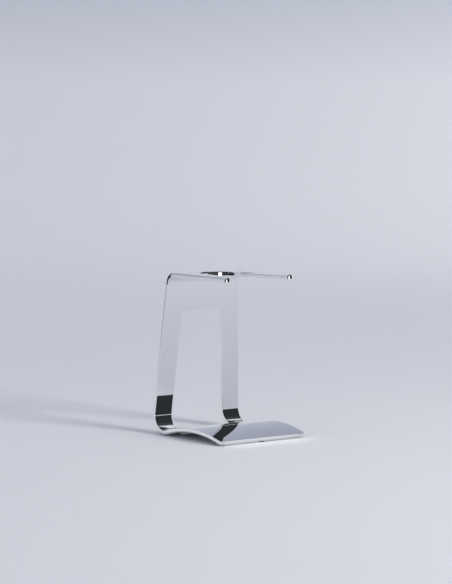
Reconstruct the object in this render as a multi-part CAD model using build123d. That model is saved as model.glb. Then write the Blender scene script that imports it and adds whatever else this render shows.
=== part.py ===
from build123d import *
import math
import os

# A counter stand that holds one shaving brush by the neck of its handle. It is bent from a
# single polished plate: an arched base, a forward-leaning upright with a tall window, and a
# level fork at the top. Four moulded pads under the base keep the metal off the counter.
#
# Frame: +Z up, the fork points along -Y, X is across. The origin is the centre of the
# footprint, on the counter. Each "reach" below is measured forward, along -Y, from the line
# under the rear bend where the plate comes lowest.

# Driving dimensions, mm and degrees
HEIGHT = 108.5
PLATE = 3.0
PAD_SKIN = 0.5

LEAN = 4.8
TOP_BEND_RADIUS = 4.2
REAR_BEND_RADIUS = 12.4
ARCH_RADIUS = 103.4
ARCH_SLOPE = 16.2
LIP = 6.0

BASE_WIDTH = 69.2
NECK_WIDTH = 58.1
TAPER_MARGIN = 2.0
BASE_CORNER = 2.0

FORK_REACH = 60.1
FORK_WIDTH = 55.2
TIP_ROUND = 2.0
SLOT_RADIUS = 15.5
SLOT_CENTRE_REACH = 21.0
FLARE_REACH = 31.8
MOUTH_WIDTH = 48.0
FLARE_ROUND = 18.0

WINDOW_TOP = 81.5
WINDOW_CROWN = 1.7
WINDOW_TOP_WIDTH = 33.2
WINDOW_FOOT_WIDTH = 43.9
WINDOW_CORNER = 1.0
WINDOW_FOOT_CORNER = 3.0

PAD_LENGTH = 7.0
PAD_SIDE_GAP = 4.5
PAD_SETBACK = 1.0
FRONT_PAD_WIDTH = 28.0
REAR_PAD_WIDTH = 7.0

FAR = 200.0

# Worked out from the driving dimensions
LEAN_SIN = math.sin(math.radians(LEAN))
LEAN_COS = math.cos(math.radians(LEAN))
SLOPE_SIN = math.sin(math.radians(ARCH_SLOPE))
SLOPE_COS = math.cos(math.radians(ARCH_SLOPE))
TOP_BEND_OUTER = TOP_BEND_RADIUS + PLATE

# The upright's back runs straight from the rear bend to the top bend.
upright_foot_z = PAD_SKIN + REAR_BEND_RADIUS * (1 + LEAN_SIN)
upright_head_z = HEIGHT - TOP_BEND_OUTER * (1 - LEAN_SIN)
upright_length = (upright_head_z - upright_foot_z) / LEAN_COS
fork_root_y = (REAR_BEND_RADIUS - TOP_BEND_OUTER) * LEAN_COS - upright_length * LEAN_SIN

# The arch runs on into a straight lip, whose underside ends level with the rear bend's foot.
arch_rise = (REAR_BEND_RADIUS + ARCH_RADIUS) * (1 - SLOPE_COS)
lip_angle = math.atan2(LIP, ARCH_RADIUS)
lip_slope = math.acos((ARCH_RADIUS - arch_rise) / math.hypot(ARCH_RADIUS, LIP)) - lip_angle
arch_centre_reach = (REAR_BEND_RADIUS + ARCH_RADIUS) * SLOPE_SIN
base_front_reach = arch_centre_reach + ARCH_RADIUS * math.sin(lip_slope) + LIP * math.cos(lip_slope)


def plate_surface(depth):
    """The edges of one face of the bent plate, lying this far inside its outer face."""
    fork = Line((-FORK_REACH, HEIGHT - depth), (fork_root_y, HEIGHT - depth))
    top_bend = JernArc(fork @ 1, fork % 1, TOP_BEND_OUTER - depth, LEAN - 90)
    upright = Line(top_bend @ 1, top_bend @ 1 + (top_bend % 1) * upright_length)
    rear_turn = -(90 + LEAN + ARCH_SLOPE)
    rear_bend = JernArc(upright @ 1, upright % 1, REAR_BEND_RADIUS - depth, rear_turn)
    arch_turn = ARCH_SLOPE + math.degrees(lip_slope)
    arch = JernArc(rear_bend @ 1, rear_bend % 1, ARCH_RADIUS + depth, arch_turn)
    lip = Line(arch @ 1, arch @ 1 + (arch % 1) * LIP)
    return [fork, top_bend, upright, rear_bend, arch, lip]


def bent_plate():
    """The plate's side profile at the full width of the base, with the base's corners rounded."""
    outer = plate_surface(0)
    inner = plate_surface(PLATE)
    tip_end = Line(outer[0] @ 0, inner[0] @ 0)
    base_end = Line(outer[-1] @ 1, inner[-1] @ 1)
    profile = make_face(Curve() + outer + inner + [tip_end, base_end])
    plate = extrude(Plane.YZ * profile, amount=BASE_WIDTH / 2, both=True)
    end_edges = plate.edges().filter_by(lambda edge: abs(edge.length - PLATE) < 0.01)
    return fillet(end_edges.sort_by(Axis.Y)[:2], BASE_CORNER)


def front_outline():
    """The stand's outline from the front: a straight base and an upright that narrows upwards."""
    foot, neck = BASE_WIDTH / 2, NECK_WIDTH / 2
    taper_start = upright_foot_z + TAPER_MARGIN
    taper_end = upright_head_z - TAPER_MARGIN
    right = [(foot, -1), (foot, taper_start), (neck, taper_end), (neck, HEIGHT + 1)]
    left = [(-x, z) for x, z in reversed(right)]
    outline = make_face(Polyline(right + left, close=True))
    return extrude(Plane.XZ * outline, amount=FAR, both=True)


def window_cutter():
    """The window between the legs, which runs down round the rear bend to its lowest line."""
    top, foot = WINDOW_TOP_WIDTH / 2, WINDOW_FOOT_WIDTH / 2
    base_top = PAD_SKIN + PLATE
    left = [(-top, WINDOW_TOP), (-foot, base_top), (-foot, -1)]
    sides = Polyline(left + [(-x, z) for x, z in reversed(left)])
    crown_point = (0, WINDOW_TOP + WINDOW_CROWN)
    crown = ThreePointArc((top, WINDOW_TOP), crown_point, (-top, WINDOW_TOP))
    from_the_front = make_face(Curve() + [sides, crown])
    from_the_front = fillet(from_the_front.vertices().group_by(Axis.Y)[-1], WINDOW_CORNER)
    from_above = Rectangle(WINDOW_FOOT_WIDTH, FAR, align=(Align.CENTER, Align.MIN))
    from_above = fillet(from_above.vertices().group_by(Axis.Y)[0], WINDOW_FOOT_CORNER)
    opening = extrude(Plane.XZ * from_the_front, amount=-FAR)
    return opening & extrude(from_above, amount=FAR, both=True)


def prongs():
    """The fork from above: two prongs round a slot that opens out at the front."""
    root, tip, mouth = NECK_WIDTH / 2, FORK_WIDTH / 2, MOUTH_WIDTH / 2
    right = [(root, fork_root_y), (tip, -FORK_REACH)]
    left = [(-x, y) for x, y in reversed(right)]
    blade = make_face(Polyline(right + left, close=True))
    throat = Pos(0, -SLOT_CENTRE_REACH) * Circle(SLOT_RADIUS)
    right = [(SLOT_RADIUS, -SLOT_CENTRE_REACH), (SLOT_RADIUS, -FLARE_REACH), (mouth, -FORK_REACH)]
    left = [(-x, y) for x, y in reversed(right)]
    flare = make_face(Polyline(right + left, close=True))
    fork = blade - (throat + flare)
    fork = fillet(fork.vertices().group_by(Axis.Y)[0], TIP_ROUND)
    flare_starts = [v for v in fork.vertices() if abs(v.Y + FLARE_REACH) < TIP_ROUND]
    return fillet(flare_starts, FLARE_ROUND)


def fork_offcut():
    """What is cut away from the level top of the plate round the prongs."""
    slab_length = FORK_REACH + fork_root_y + 1
    slab = Rectangle(FAR, slab_length, align=(Align.CENTER, Align.MAX))
    waste = Pos(0, fork_root_y) * slab - prongs()
    return extrude(Pos(0, 0, HEIGHT - 2 * PLATE) * waste, amount=3 * PLATE)


def stand_plate():
    """The whole bent plate."""
    return (bent_plate() & front_outline()) - window_cutter() - fork_offcut()


def pad(plate, width, x, front_reach):
    """A flat-bottomed pad that fills the space under the plate, this wide and centred on x."""
    block = Box(width, PAD_LENGTH, PLATE, align=(Align.CENTER, Align.MIN, Align.MIN))
    return Pos(x, -front_reach, 0) * block - plate


def front_pad(plate, side):
    """A wedge under the front lip, set in from the base's edges."""
    x = side * (BASE_WIDTH / 2 - PAD_SIDE_GAP - FRONT_PAD_WIDTH / 2)
    return pad(plate, FRONT_PAD_WIDTH, x, base_front_reach - PAD_SETBACK)


def rear_pad(plate, side):
    """A thin cradle under the rear bend of one leg, set in from its outer edge."""
    x = side * (BASE_WIDTH / 2 - PAD_SIDE_GAP - REAR_PAD_WIDTH / 2)
    return pad(plate, REAR_PAD_WIDTH, x, PAD_LENGTH / 2)


plate = stand_plate()
pieces = {"stand_plate": plate}
for name, side in (("left", -1), ("right", 1)):
    pieces["front_pad_" + name] = front_pad(plate, side)
    pieces["rear_pad_" + name] = rear_pad(plate, side)

footprint = plate.bounding_box()
centre_y = (footprint.min.Y + footprint.max.Y) / 2
os.makedirs("parts", exist_ok=True)
for name, solid in pieces.items():
    solid = Pos(0, -centre_y, 0) * solid
    solid.label = name
    export_step(solid, "parts/" + name + ".step")
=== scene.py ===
import math
from typing import NamedTuple

import bmesh
import bpy
import numpy as np
from mathutils import Matrix, Vector
from mathutils.geometry import delaunay_2d_cdt


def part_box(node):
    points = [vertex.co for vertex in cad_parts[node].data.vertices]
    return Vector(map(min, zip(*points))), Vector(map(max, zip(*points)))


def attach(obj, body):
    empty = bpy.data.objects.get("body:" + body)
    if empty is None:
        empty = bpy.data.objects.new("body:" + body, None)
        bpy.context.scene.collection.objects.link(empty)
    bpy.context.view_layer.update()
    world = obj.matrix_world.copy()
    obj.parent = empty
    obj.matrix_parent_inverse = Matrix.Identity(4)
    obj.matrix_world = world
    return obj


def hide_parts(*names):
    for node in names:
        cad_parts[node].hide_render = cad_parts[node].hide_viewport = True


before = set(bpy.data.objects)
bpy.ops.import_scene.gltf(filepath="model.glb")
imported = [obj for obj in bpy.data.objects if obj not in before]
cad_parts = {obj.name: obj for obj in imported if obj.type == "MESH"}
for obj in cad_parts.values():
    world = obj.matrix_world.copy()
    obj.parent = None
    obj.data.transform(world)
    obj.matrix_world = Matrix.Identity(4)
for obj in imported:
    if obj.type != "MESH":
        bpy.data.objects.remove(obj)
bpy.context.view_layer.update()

# A counter stand for a shaving brush: one polished plate, bent three times, on four clear pads.
# The plate is made here as a flat blank with rounded edges, every point of which is then bent
# along the plate's spine. Units are metres. +Z is up and the fork points along -Y.

plate_low, plate_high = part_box("stand_plate")

# Plate, bends and outline. The bends' radii are those of the outer face, which is the fork's top,
# the upright's back and the arch's underside.
PLATE = 0.003
LEAN = math.radians(4.8)
TOP_BEND_RADIUS = 0.0072
REAR_BEND_RADIUS = 0.0124
ARCH_RADIUS = 0.1034
ARCH_SLOPE = math.radians(16.2)
LIP = 0.006

NECK_HALF = 0.02905
BASE_HALF = (plate_high.x - plate_low.x) / 2
TAPER_MARGIN = 0.002
BASE_CORNER = 0.002

FORK_REACH = 0.0601
FORK_HALF = 0.0276
TIP_ROUND = 0.002
SLOT_RADIUS = 0.0155
SLOT_CENTRE_REACH = 0.021
FLARE_REACH = 0.0318
MOUTH_HALF = 0.024
FLARE_ROUND = 0.018

WINDOW_TOP = 0.0815
WINDOW_CROWN = 0.0017
WINDOW_TOP_HALF = 0.0166
WINDOW_FOOT_HALF = 0.02195
WINDOW_CORNER = 0.001
WINDOW_FOOT_CORNER = 0.003

# Finish of the cut edges. The edge leans by BULGE_RATE times the plate's thickness over the bend's
# radius, and the lean fades out over BULGE_FADE beyond the bend.
OUTER_EDGE_ROUND = 0.0013
INNER_EDGE_ROUND = 0.00015
BULGE_RATE = 0.45
BULGE_FADE = 0.0015
PAD_EDGE_ROUND = 0.0002
ROUND_WEAR = 1.0
WALL_WEAR = 0.4

# How finely the plate is meshed
OUTER_EDGE_STEPS = 8
INNER_EDGE_STEPS = 3
WALL_STEPS = 2
BEND_STEP = math.radians(2.5)
ARCH_STEP = math.radians(0.8)
FLAT_STEP = 0.003
OUTLINE_STEP = 0.0006
CORNER_STEP = math.radians(7.5)
COLUMN_STEP = 0.002
CROWN_STEPS = 12
CLEAR_OF_RIM = 0.6 * OUTLINE_STEP
SAME_POINT = 1e-7
BISECTIONS = 50
ROUNDING = 1e-9
STEP_SLACK = 1e-6

# Studio: a paper sweep, and glowing cards round the stand that only reflections show, as painted
# reflections
FLOOR_RADIUS = 1.6
COVE_RADIUS = 2.0
COVE_STEPS = 18
WALL_HEIGHT = 3.2
ROOM_RADIUS = 1.16
ROOM_HEIGHT = 1.3
BACK_CARD_HEIGHT = 0.6
# The bright card that paints the glints in reflections
GLINT_CARD_RADIUS = 1.13
GLINT_CARD_HEIGHT = 0.5
KEY_COLOUR = (1.0, 0.985, 0.96)
SKY_COLOUR = (0.94, 0.975, 1.05)
SKY_STRENGTH = 0.705

# Camera
CAMERA_AZIMUTH = -36.63
CAMERA_ELEVATION = 4.52
CAMERA_DISTANCE = 1.5
CAMERA_AIM = Vector((-0.0040, -0.0029, 0.0964))
CAMERA_LENS = 140.0
SENSOR_WIDTH = 36.0


# ---------------------------------------------------------------- the plate's spine

class Run(NamedTuple):
    """One stretch of the spine: where it starts, and how it goes on from there."""

    start: float
    y: float
    z: float
    heading: float
    curvature: float
    length: float


class Spine:
    """The line that the plate's outer face follows, seen from the side, by length from the tips."""

    def __init__(self, start, runs):
        """runs are (length, curvature). A positive curvature turns the line anticlockwise in
        (y, z)."""
        self.runs = []
        y, z, heading, s = start[0], start[1], 0.0, 0.0
        for length, curvature in runs:
            self.runs.append(Run(s, y, z, heading, curvature, length))
            y, z, heading = self.advance(y, z, heading, curvature, length)
            s += length
        self.length = s

    @staticmethod
    def advance(y, z, heading, curvature, u):
        """(y, z, heading) after a length u along a run that starts like this."""
        if curvature == 0:
            return y + u * math.cos(heading), z + u * math.sin(heading), heading
        turned = heading + curvature * u
        y += (math.sin(turned) - math.sin(heading)) / curvature
        z -= (math.cos(turned) - math.cos(heading)) / curvature
        return y, z, turned

    def start_of(self, run):
        return self.runs[run].start

    def at(self, s):
        """(y, z, heading) at this length from the tips."""
        run = next((r for r in reversed(self.runs) if s >= r.start - ROUNDING), self.runs[0])
        return self.advance(run.y, run.z, run.heading, run.curvature, s - run.start)

    def where_height(self, z, low, high):
        """The length between low and high at which the line comes down to this height."""
        for _ in range(BISECTIONS):
            middle = (low + high) / 2
            if self.at(middle)[1] > z:
                low = middle
            else:
                high = middle
        return (low + high) / 2


FORK, TOP_BEND, UPRIGHT, REAR_BEND, ARCH, FRONT_LIP = range(6)

top = plate_high.z
floor_line_y = plate_high.y - REAR_BEND_RADIUS
upright_foot = plate_low.z + REAR_BEND_RADIUS * (1 + math.sin(LEAN))
upright_head = top - TOP_BEND_RADIUS * (1 - math.sin(LEAN))
upright_length = (upright_head - upright_foot) / math.cos(LEAN)
bend_offset = (REAR_BEND_RADIUS - TOP_BEND_RADIUS) * math.cos(LEAN)
fork_root_y = bend_offset - upright_length * math.sin(LEAN)
arch_rise = (REAR_BEND_RADIUS + ARCH_RADIUS) * (1 - math.cos(ARCH_SLOPE))
lip_hang = math.acos((ARCH_RADIUS - arch_rise) / math.hypot(ARCH_RADIUS, LIP))
lip_slope = lip_hang - math.atan2(LIP, ARCH_RADIUS)

spine = Spine(
    (floor_line_y - FORK_REACH, top),
    [
        (FORK_REACH + fork_root_y, 0),
        (TOP_BEND_RADIUS * (math.pi / 2 - LEAN), -1 / TOP_BEND_RADIUS),
        (upright_length, 0),
        (REAR_BEND_RADIUS * (math.pi / 2 + LEAN + ARCH_SLOPE), -1 / REAR_BEND_RADIUS),
        (ARCH_RADIUS * (ARCH_SLOPE + lip_slope), 1 / ARCH_RADIUS),
        (LIP, 0),
    ],
)


def bent(x, s, depth):
    """Where a point of the flat blank goes when it is bent, this deep below the outer face."""
    y, z, heading = spine.at(s)
    return Vector((x, y + math.sin(heading) * depth, z - math.cos(heading) * depth))


def bent_normal(s):
    """The outward direction of the plate's outer face."""
    heading = spine.at(s)[2]
    return Vector((0, -math.sin(heading), math.cos(heading)))


def bent_along(s):
    """The direction of the spine."""
    heading = spine.at(s)[2]
    return Vector((0, math.cos(heading), math.sin(heading)))


# ---------------------------------------------------------------- the blank's outline

def rounded(points):
    """A line of (x, s, radius) corners as (x, s) points, with each corner rounded by its radius."""
    line = []
    for i, (x, s, radius) in enumerate(points):
        corner = Vector((x, s))
        if radius == 0 or i in (0, len(points) - 1):
            line.append(corner)
            continue
        back = (Vector(points[i - 1][:2]) - corner).normalized()
        ahead = (Vector(points[i + 1][:2]) - corner).normalized()
        half = back.angle(ahead) / 2
        centre = corner + (back + ahead).normalized() * (radius / math.sin(half))
        first = corner + back * (radius / math.tan(half)) - centre
        turn = math.pi - 2 * half
        sign = 1 if back.cross(ahead) < 0 else -1
        steps = max(2, round(turn / CORNER_STEP), round(turn * radius / OUTLINE_STEP))
        for k in range(steps + 1):
            spin = Matrix.Rotation(sign * turn * k / steps, 2)
            line.append(centre + spin @ first)
    return line


def divided(line, step):
    """The same line with no stretch longer than step."""
    points = [line[0]]
    for a, b in zip(line, line[1:]):
        parts = max(1, math.ceil((b - a).length / step - STEP_SLACK))
        points += [a.lerp(b, k / parts) for k in range(1, parts + 1)]
    return points


def mirrored_loop(right):
    """A closed loop from its right half, which starts and ends on the centre line."""
    left = [Vector((-p.x, p.y)) for p in reversed(right[1:-1])]
    return right + left


def plate_outline():
    """The blank's outer edge: the slot, the prongs, the sides and the front of the base."""
    slot_centre = FORK_REACH - SLOT_CENTRE_REACH
    upright_start = spine.start_of(UPRIGHT)
    taper_top = upright_start + TAPER_MARGIN / math.cos(LEAN)
    taper_foot = upright_start + upright_length - TAPER_MARGIN / math.cos(LEAN)
    steps = round(math.pi / 2 * SLOT_RADIUS / OUTLINE_STEP)
    throat = []
    for k in range(steps):
        angle = math.pi / 2 * k / steps
        x = SLOT_RADIUS * math.sin(angle)
        throat.append(Vector((x, slot_centre + SLOT_RADIUS * math.cos(angle))))
    rest = rounded([
        (SLOT_RADIUS, slot_centre, 0),
        (SLOT_RADIUS, FORK_REACH - FLARE_REACH, FLARE_ROUND),
        (MOUTH_HALF, 0, TIP_ROUND),
        (FORK_HALF, 0, TIP_ROUND),
        (NECK_HALF, spine.start_of(TOP_BEND), 0),
        (NECK_HALF, taper_top, 0),
        (BASE_HALF, taper_foot, 0),
        (BASE_HALF, spine.length, BASE_CORNER),
        (0, spine.length, 0),
    ])
    return mirrored_loop(divided(throat + rest, OUTLINE_STEP))


def window_outline():
    """The window's edge: a crowned top, sides that spread downwards, and a square end under the
    bend."""
    rear_bend = spine.start_of(REAR_BEND)
    side_top = spine.where_height(WINDOW_TOP, spine.start_of(UPRIGHT), rear_bend)
    crown_top = side_top - WINDOW_CROWN
    base_top = plate_low.z + PLATE
    quarter_turn = REAR_BEND_RADIUS * math.pi / 2
    side_foot = spine.where_height(base_top, rear_bend, rear_bend + quarter_turn)
    window_end = rear_bend + REAR_BEND_RADIUS * (math.pi / 2 + LEAN)

    crown = []
    for k in range(CROWN_STEPS):
        x = WINDOW_TOP_HALF * k / CROWN_STEPS
        crown.append((x, crown_top + WINDOW_CROWN * (x / WINDOW_TOP_HALF) ** 2, 0))
    flank = []
    steps = round((side_foot - side_top) / FLAT_STEP)
    for k in range(1, steps):
        s = side_top + (side_foot - side_top) * k / steps
        share = (WINDOW_TOP - spine.at(s)[1]) / (WINDOW_TOP - base_top)
        flank.append((WINDOW_TOP_HALF + (WINDOW_FOOT_HALF - WINDOW_TOP_HALF) * share, s, 0))
    corners = crown + [(WINDOW_TOP_HALF, side_top, WINDOW_CORNER)] + flank
    corners.append((WINDOW_FOOT_HALF, side_foot, 0))
    corners.append((WINDOW_FOOT_HALF, window_end, WINDOW_FOOT_CORNER))
    corners.append((0, window_end, 0))
    return mirrored_loop(divided(rounded(corners), OUTLINE_STEP))


def outward(loop, away):
    """The unit directions out of the metal along a closed loop. away is 1 round the outside of the
    metal and -1 round a hole in it."""
    points = np.array(loop)
    along = np.roll(points, -1, 0) - np.roll(points, 1, 0)
    along /= np.linalg.norm(along, axis=1)[:, None]
    x, s = points.T
    area = (x * np.roll(s, -1) - np.roll(x, -1) * s).sum() / 2
    side = math.copysign(1, area) * away
    return np.column_stack((along[:, 1], -along[:, 0])) * side


def inside(points, loops):
    """Which points lie in the metal, by the even-odd rule."""
    odd = np.zeros(len(points), bool)
    x, s = points[:, :1], points[:, 1:]
    for loop in loops:
        from_x, from_s = loop.T
        to_x, to_s = np.roll(from_x, -1), np.roll(from_s, -1)
        spans = (from_s > s) != (to_s > s)
        rise = np.where(to_s == from_s, 1, to_s - from_s)
        crossing = from_x + (s - from_s) / rise * (to_x - from_x)
        odd ^= (np.logical_and(spans, x < crossing).sum(1) % 2).astype(bool)
    return odd


def mesh_rows():
    """The lengths along the spine at which the blank's faces have a row of points."""
    steps = {
        FORK: FLAT_STEP,
        UPRIGHT: FLAT_STEP,
        FRONT_LIP: FLAT_STEP,
        TOP_BEND: BEND_STEP * TOP_BEND_RADIUS,
        REAR_BEND: BEND_STEP * REAR_BEND_RADIUS,
        ARCH: ARCH_STEP * ARCH_RADIUS,
    }
    rows = []
    for place, step in steps.items():
        run = spine.runs[place]
        count = math.ceil(run.length / step)
        rows += [run.start + run.length * k / count for k in range(count)]
    return sorted(rows)


def face_triangles(rims):
    """The points and triangles that fill the flat blank inside its rims. The rims' points come
    first."""
    pitch = 2 * BASE_HALF / round(2 * BASE_HALF / COLUMN_STEP)
    columns = np.arange(-BASE_HALF, BASE_HALF + COLUMN_STEP / 2, pitch)
    grid = np.array([(x, s) for s in mesh_rows() for x in columns])
    edge_points = np.vstack(rims)
    grid = grid[inside(grid, rims)]
    near = np.array([np.hypot(*(edge_points - p).T).min() for p in grid])
    grid = grid[near > CLEAR_OF_RIM]
    points = [Vector(p) for p in np.vstack((edge_points, grid))]
    edges, start = [], 0
    for rim in rims:
        count = len(rim)
        edges += [(start + k, start + (k + 1) % count) for k in range(count)]
        start += count
    only_inside = 1
    found, _, triangles, *_ = delaunay_2d_cdt(points, edges, [], only_inside, SAME_POINT)
    centres = np.array([sum((found[k] for k in t), Vector((0, 0))) / 3 for t in triangles])
    kept = [t for t, ok in zip(triangles, inside(centres, rims)) if ok]
    return found, kept


# ---------------------------------------------------------------- the plate's mesh

def bulge_slope(s):
    """How much the cut edge leans at a bend, where the outer side draws in and the inner side
    swells. A tighter bend leans it more."""
    slope = 0.0
    for place in (TOP_BEND, REAR_BEND):
        run = spine.runs[place]
        past_end = max(run.start - s, s - run.start - run.length, 0.0)
        share = max(0.0, 1 - past_end / BULGE_FADE)
        smooth_share = share * share * (3 - 2 * share)
        slope += BULGE_RATE * PLATE * abs(run.curvature) * smooth_share
    return slope


def bulge(s, depth):
    """How much further in the cut edge lies at this depth because of the bend."""
    return bulge_slope(s) * (PLATE / 2 - depth)


def edge_levels():
    """Across the cut edge, from the outer face to the inner: (inset, depth, tilt, wear) of each
    ring. The tilt is measured from the outer face's normal."""
    levels = []
    for k in range(1, OUTER_EDGE_STEPS + 1):
        tilt = math.pi / 2 * k / OUTER_EDGE_STEPS
        inset = OUTER_EDGE_ROUND * (1 - math.sin(tilt))
        levels.append((inset, OUTER_EDGE_ROUND * (1 - math.cos(tilt)), tilt, ROUND_WEAR))
    wall = PLATE - OUTER_EDGE_ROUND - INNER_EDGE_ROUND
    for k in range(1, WALL_STEPS):
        depth = OUTER_EDGE_ROUND + wall * k / WALL_STEPS
        levels.append((0.0, depth, math.pi / 2, WALL_WEAR))
    for k in range(INNER_EDGE_STEPS):
        tilt = math.pi / 2 * (1 + k / INNER_EDGE_STEPS)
        inset = INNER_EDGE_ROUND * (1 - math.sin(tilt))
        depth = PLATE - INNER_EDGE_ROUND * (1 + math.cos(tilt))
        levels.append((inset, depth, tilt, ROUND_WEAR))
    return levels


class Skin:
    """The points, exact normals, edge wear and faces of a mesh, while it is put together."""

    def __init__(self):
        self.points = []
        self.normals = []
        self.wear = []
        self.faces = []

    def add(self, point, normal, wear):
        """Adds a point and returns its number."""
        self.points.append(point)
        self.normals.append(normal)
        self.wear.append(wear)
        return len(self.points) - 1

    def join(self, upper, lower):
        """Fills the band between two closed rings of as many points."""
        for k in range(len(upper)):
            after = (k + 1) % len(upper)
            self.faces.append((upper[k], upper[after], lower[after], lower[k]))


def add_face(skin, outlines, away, depth, side, edge_round):
    """The plate's outer face (side 1) or inner face (side -1), up to where its rounded edges start.
    Returns its first point's number. The outlines' points come first, in order."""
    rims = []
    for outline, out in zip(outlines, away):
        insets = np.array([edge_round + bulge(s, depth) for x, s in outline])
        rims.append(outline - out * insets[:, None])
    blank, triangles = face_triangles(rims)
    start = len(skin.points)
    for p in blank:
        skin.add(bent(p.x, p.y, depth), bent_normal(p.y) * side, 0.0)
    for triangle in triangles:
        order = triangle if side == -1 else triangle[::-1]
        skin.faces.append([start + k for k in order])
    return start


def add_cut_edge(skin, outline, out, outer_rim, inner_rim):
    """The rounded edge along one outline, between the rims of the two faces."""
    rings = [outer_rim]
    for inset, depth, tilt, wear in edge_levels():
        ring = []
        for (x, s), (out_x, out_s) in zip(outline, out):
            inward = inset + bulge(s, depth)
            point = bent(x - out_x * inward, s - out_s * inward, depth)
            across = Vector((out_x, 0, 0)) + bent_along(s) * out_s
            turned = tilt - math.atan(bulge_slope(s)) * math.sin(tilt)
            normal = bent_normal(s) * math.cos(turned) + across * math.sin(turned)
            ring.append(skin.add(point, normal.normalized(), wear))
        rings.append(ring)
    rings.append(inner_rim)
    for upper, lower in zip(rings, rings[1:]):
        skin.join(upper, lower)


def plate_object(skin):
    mesh = bpy.data.meshes.new("stand_plate_finish")
    mesh.from_pydata(skin.points, [], skin.faces)
    bm = bmesh.new()
    bm.from_mesh(mesh)
    bmesh.ops.recalc_face_normals(bm, faces=bm.faces)
    bm.to_mesh(mesh)
    bm.free()
    mesh.shade_smooth()
    wear = mesh.attributes.new("edge_wear", "FLOAT", "POINT")
    wear.data.foreach_set("value", skin.wear)
    mesh.normals_split_custom_set_from_vertices(skin.normals)
    plate = bpy.data.objects.new("polished_plate", mesh)
    bpy.context.scene.collection.objects.link(plate)
    return plate


def make_plate():
    """The whole bent plate with its edges rounded, and exact normals for its reflections."""
    outlines = [np.array(plate_outline()), np.array(window_outline())]
    away = [outward(outlines[0], 1), outward(outlines[1], -1)]
    skin = Skin()
    outer_start = add_face(skin, outlines, away, 0, 1, OUTER_EDGE_ROUND)
    inner_start = add_face(skin, outlines, away, PLATE, -1, INNER_EDGE_ROUND)
    first = 0
    for outline, out in zip(outlines, away):
        rim = range(first, first + len(outline))
        outer_rim = [outer_start + k for k in rim]
        inner_rim = [inner_start + k for k in rim]
        add_cut_edge(skin, outline, out, outer_rim, inner_rim)
        first += len(outline)
    return plate_object(skin)


# ---------------------------------------------------------------- materials

class Nodes:
    """A short way to build a material's node tree."""

    def __init__(self, name):
        self.material = bpy.data.materials.new(name)
        self.material.use_nodes = True
        self.tree = self.material.node_tree
        self.tree.nodes.clear()
        self.output = self.tree.nodes.new("ShaderNodeOutputMaterial")

    def add(self, kind, inputs=None, **settings):
        """A node with its inputs, by name or number. Each is a value, or a socket to link."""
        node = self.tree.nodes.new("ShaderNode" + kind)
        for name, value in settings.items():
            setattr(node, name, value)
        for name, value in (inputs or {}).items():
            if isinstance(value, bpy.types.NodeSocket):
                self.tree.links.new(value, node.inputs[name])
            else:
                node.inputs[name].default_value = value
        return node

    def noise(self, coordinates, scale, detail, roughness=0.5):
        inputs = {"Vector": coordinates, "Scale": scale, "Detail": detail, "Roughness": roughness}
        return self.add("TexNoise", inputs).outputs["Fac"]

    def remap(self, value, low, high, new_low, new_high):
        inputs = {
            "Value": value,
            "From Min": low,
            "From Max": high,
            "To Min": new_low,
            "To Max": new_high,
        }
        return self.add("MapRange", inputs).outputs["Result"]

    def stretch(self, coordinates, scale, rotation):
        inputs = {"Vector": coordinates, "Scale": scale, "Rotation": rotation}
        return self.add("Mapping", inputs).outputs["Vector"]

    def bump(self, height, distance, normal=None):
        inputs = {"Height": height, "Distance": distance, "Strength": 1.0}
        if normal is not None:
            inputs["Normal"] = normal
        return self.add("Bump", inputs).outputs["Normal"]

    def maths(self, operation, a, b):
        return self.add("Math", {0: a, 1: b}, operation=operation).outputs["Value"]

    def mix(self, share, a, b):
        """A colour that goes from a to b as share goes from 0 to 1."""
        inputs = {"Factor": share, "A": a, "B": b}
        return self.add("Mix", inputs, data_type="RGBA").outputs["Result"]

    def finish(self, shader):
        self.tree.links.new(shader.outputs[0], self.output.inputs["Surface"])
        return self.material


def polished_chrome():
    """Bright chrome: faint waves from the buffing wheel, hairline scratches, a little haze."""
    n = Nodes("polished_chrome")
    place = n.add("TexCoord").outputs["Object"]
    waves = n.noise(place, 45.0, 1.0)
    peel = n.noise(place, 420.0, 1.0)
    hairs = n.noise(n.stretch(place, (3000.0, 90.0, 90.0), (0.2, 0.1, 0.4)), 1.0, 2.0)
    cross_hairs = n.noise(n.stretch(place, (120.0, 120.0, 4000.0), (0.3, 0.5, 0.1)), 1.0, 2.0)
    haze = n.noise(place, 60.0, 4.0, 0.6)
    edge = n.add("Attribute", attribute_name="edge_wear").outputs["Fac"]

    scratches = n.remap(hairs, 0.66, 0.8, 0.0, 1.0)
    cross_scratches = n.remap(cross_hairs, 0.68, 0.82, 0.0, 1.0)
    scratches = n.maths("ADD", scratches, cross_scratches)
    rough = n.remap(haze, 0.45, 0.75, 0.018, 0.05)
    rough = n.maths("ADD", rough, n.maths("MULTIPLY", scratches, 0.03))
    rough = n.maths("ADD", rough, n.maths("MULTIPLY", edge, 0.04))

    normal = n.bump(waves, 0.00002)
    normal = n.bump(peel, 0.0000004, normal)
    normal = n.bump(scratches, 0.0000003, normal)

    shader = n.add("BsdfPrincipled", {
        "Base Color": n.mix(haze, (0.965, 0.96, 0.962, 1), (0.945, 0.943, 0.95, 1)),
        "Metallic": 1.0,
        "Roughness": rough,
        "Normal": normal,
    })
    return n.finish(shader)


def clear_silicone():
    """Soft clear pad: milky, slightly blue-grey, with a fine moulded skin and some dust."""
    n = Nodes("clear_silicone")
    place = n.add("TexCoord").outputs["Object"]
    cloud = n.noise(place, 350.0, 3.0)
    grain = n.noise(place, 6000.0, 2.0)
    shader = n.add("BsdfPrincipled", {
        "Base Color": n.mix(cloud, (0.62, 0.65, 0.67, 1), (0.74, 0.76, 0.77, 1)),
        "Roughness": n.remap(cloud, 0.3, 0.7, 0.32, 0.5),
        "Normal": n.bump(grain, 0.000006),
        "IOR": 1.42,
        "Transmission Weight": 0.35,
    })
    return n.finish(shader)


# ---------------------------------------------------------------- studio

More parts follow.
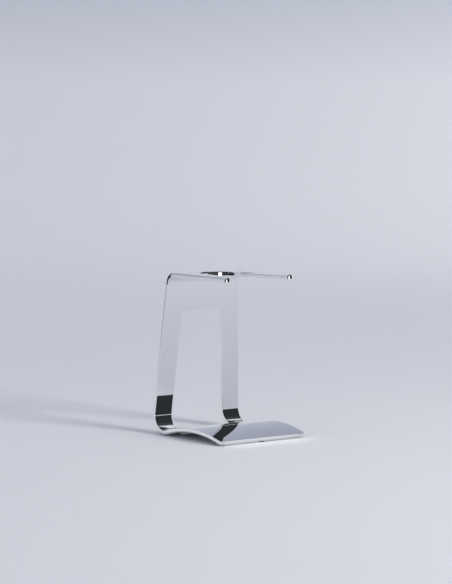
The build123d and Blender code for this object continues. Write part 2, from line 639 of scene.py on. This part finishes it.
def paper():
    """Seamless paper with a fine tooth. Painted shade: its colour turns greyer high on the wall.
    Painted light: low down, away from the stand, it also glows a little, though it is no lamp."""
    n = Nodes("backdrop_paper")
    place = n.add("TexCoord").outputs["Object"]
    fibre = n.noise(place, 900.0, 3.0)
    height = n.add("SeparateXYZ", {"Vector": place}).outputs["Z"]
    lower = n.mix(fibre, (0.775, 0.777, 0.802, 1), (0.806, 0.808, 0.832, 1))
    # Painted shade: the paper's colour greys between 0.27 m and 0.45 m up the wall
    sheet = n.add("BsdfDiffuse", {
        "Color": n.mix(n.remap(height, 0.27, 0.45, 0.0, 1.0), lower, (0.68, 0.70, 0.76, 1)),
        "Roughness": 0.5,
        "Normal": n.bump(fibre, 0.00002),
    })

    # Painted light: an emission that grows away from the stand and fades higher up the wall
    distance = n.add("VectorMath", {0: place}, operation="LENGTH").outputs["Value"]
    painted_glow = n.remap(distance, 0.3, 2.2, 0.0, 0.07)
    painted_glow = n.maths("MULTIPLY", painted_glow, n.remap(height, 0.26, 0.62, 1.0, 0.1))
    # This emission is painted light on the paper, not a lamp
    lamp = n.add("Emission", {"Color": (1.0, 0.99, 1.0, 1), "Strength": painted_glow})
    return n.finish(n.add("AddShader", {0: sheet.outputs[0], 1: lamp.outputs[0]}))


def glow(name, colour, strength):
    n = Nodes(name)
    shader = n.add("Emission", {"Color": (*colour, 1), "Strength": strength})
    return n.finish(shader)


def direction(azimuth, elevation):
    """The unit direction at these angles in degrees, with azimuth from -Y towards +X."""
    a, e = math.radians(azimuth), math.radians(elevation)
    return Vector((math.sin(a) * math.cos(e), -math.cos(a) * math.cos(e), math.sin(e)))


def swept_surface(name, profile, first, last, material, steps=96):
    """A surface swept round the origin, from one azimuth to another. profile is its
    (radius, height) line."""
    vertices, faces = [], []
    for k in range(steps + 1):
        angle = math.radians(first + (last - first) * k / steps)
        for radius, height in profile:
            vertices.append((radius * math.sin(angle), -radius * math.cos(angle), height))
    row = len(profile)
    for k in range(steps):
        for j in range(row - 1):
            a = k * row + j
            faces.append((a, a + 1, a + 1 + row, a + row))
    mesh = bpy.data.meshes.new(name)
    mesh.from_pydata(vertices, [], faces)
    mesh.materials.append(material)
    mesh.shade_smooth()
    surface = bpy.data.objects.new(name, mesh)
    bpy.context.scene.collection.objects.link(surface)
    return surface


def only_in_reflections(surface):
    surface.visible_camera = False
    surface.visible_diffuse = False
    surface.visible_shadow = False
    surface.visible_transmission = False
    surface.visible_volume_scatter = False


def softbox(name, place, size, power, colour, aim=(0, 0, 0)):
    """A rectangular light, turned to aim. place is its azimuth, elevation and distance. Neither
    the camera nor a reflection shows it."""
    light = bpy.data.lights.new(name, "AREA")
    light.shape = "RECTANGLE"
    light.size, light.size_y = size
    light.energy = power
    light.color = colour
    azimuth, elevation, distance = place
    lamp = bpy.data.objects.new(name, light)
    lamp.location = direction(azimuth, elevation) * distance
    lamp.rotation_euler = (lamp.location - Vector(aim)).to_track_quat("Z", "Y").to_euler()
    lamp.visible_glossy = False
    lamp.visible_camera = False
    bpy.context.scene.collection.objects.link(lamp)


def make_sweep():
    """The paper under and round the stand, which curves up into a wall."""
    profile = [(radius, 0.0) for radius in (0.0, 0.3, 0.8, FLOOR_RADIUS)]
    for k in range(1, COVE_STEPS + 1):
        angle = math.pi / 2 * k / COVE_STEPS
        radius = FLOOR_RADIUS + COVE_RADIUS * math.sin(angle)
        profile.append((radius, COVE_RADIUS * (1 - math.cos(angle))))
    profile.append((FLOOR_RADIUS + COVE_RADIUS, WALL_HEIGHT))
    swept_surface("paper_sweep", profile, 0, 360, paper())


def make_cards():
    """Painted reflections, on glowing cards that only reflections show: a dark room round the front
    and overhead, a low dark card behind, and a bright card, apart from the key light, for the
    glints."""
    dark_reflection_glow = glow("painted_dark_reflection", (0.88, 0.98, 1.1), 0.029)
    dark_ceiling_glow = glow("painted_dark_ceiling_reflection", (0.9, 1.0, 1.05), 0.05)
    # The bright card paints the glints; the key light that lights the scene stands elsewhere
    painted_glint_glow = glow("painted_glint_glow", KEY_COLOUR, 4.0)
    wall = [(ROOM_RADIUS, 0.0), (ROOM_RADIUS, ROOM_HEIGHT)]
    low_wall = [(ROOM_RADIUS, 0.0), (ROOM_RADIUS, BACK_CARD_HEIGHT)]
    lid = [(ROOM_RADIUS, ROOM_HEIGHT), (0.0, ROOM_HEIGHT)]
    panel = [(GLINT_CARD_RADIUS, 0.0), (GLINT_CARD_RADIUS, GLINT_CARD_HEIGHT)]
    cards = [
        swept_surface("dark_reflection_front", wall, -91, 124, dark_reflection_glow),
        swept_surface("dark_reflection_back", low_wall, 151, 211, dark_reflection_glow, steps=24),
        swept_surface("dark_reflection_top", lid, -91, 98, dark_ceiling_glow),
        swept_surface("painted_glint_card", panel, -26, -10, painted_glint_glow, steps=12),
    ]
    for card in cards:
        only_in_reflections(card)


def make_lights():
    """An even sky, the key light at the front right, a weak lamp for what the base's front edge
    throws on the floor, and a light on the backdrop."""
    world = bpy.data.worlds.new("studio")
    world.use_nodes = True
    background = world.node_tree.nodes["Background"]
    background.inputs["Color"].default_value = (*SKY_COLOUR, 1)
    background.inputs["Strength"].default_value = SKY_STRENGTH
    bpy.context.scene.world = world

    softbox("key_softbox", (13.0, 17.0, 1.35), (0.42, 0.8), 10.5, KEY_COLOUR)
    softbox(
        "front_edge_glint",
        place=(0.0, 12.0, 0.0425),
        size=(0.064, 0.006),
        power=0.0013,
        colour=KEY_COLOUR,
        aim=(0, -0.047, 0),
    )
    softbox(
        "backdrop_wash",
        place=(112.0, 16.0, 2.4),
        size=(1.2, 1.2),
        power=7.0,
        colour=(1.0, 0.99, 0.97),
        aim=(1.2, 1.7, 0.1),
    )


def make_camera():
    data = bpy.data.cameras.new("camera")
    data.lens = CAMERA_LENS
    data.sensor_width = SENSOR_WIDTH
    data.clip_start, data.clip_end = 0.01, 20.0
    camera = bpy.data.objects.new("camera", data)
    back = direction(CAMERA_AZIMUTH, CAMERA_ELEVATION)
    camera.location = CAMERA_AIM + back * CAMERA_DISTANCE
    camera.rotation_euler = (-back).to_track_quat("-Z", "Y").to_euler()
    bpy.context.scene.collection.objects.link(camera)
    bpy.context.scene.camera = camera


# ---------------------------------------------------------------- assembly

def finish_pad(node, material):
    """A CAD pad in its own material, with its moulded edges softened."""
    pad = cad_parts[node]
    pad.data.materials.clear()
    pad.data.materials.append(material)
    soften = pad.modifiers.new("moulded_edge", "BEVEL")
    soften.width = PAD_EDGE_ROUND
    soften.segments = 3
    soften.limit_method = "ANGLE"


make_sweep()
make_cards()
make_lights()
make_camera()

plate = make_plate()
plate.data.materials.append(polished_chrome())
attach(plate, "root")
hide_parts("stand_plate")

silicone = clear_silicone()
for name in ("front_pad_left", "front_pad_right", "rear_pad_left", "rear_pad_right"):
    finish_pad(name, silicone)

bpy.context.scene.view_settings.view_transform = "Standard"
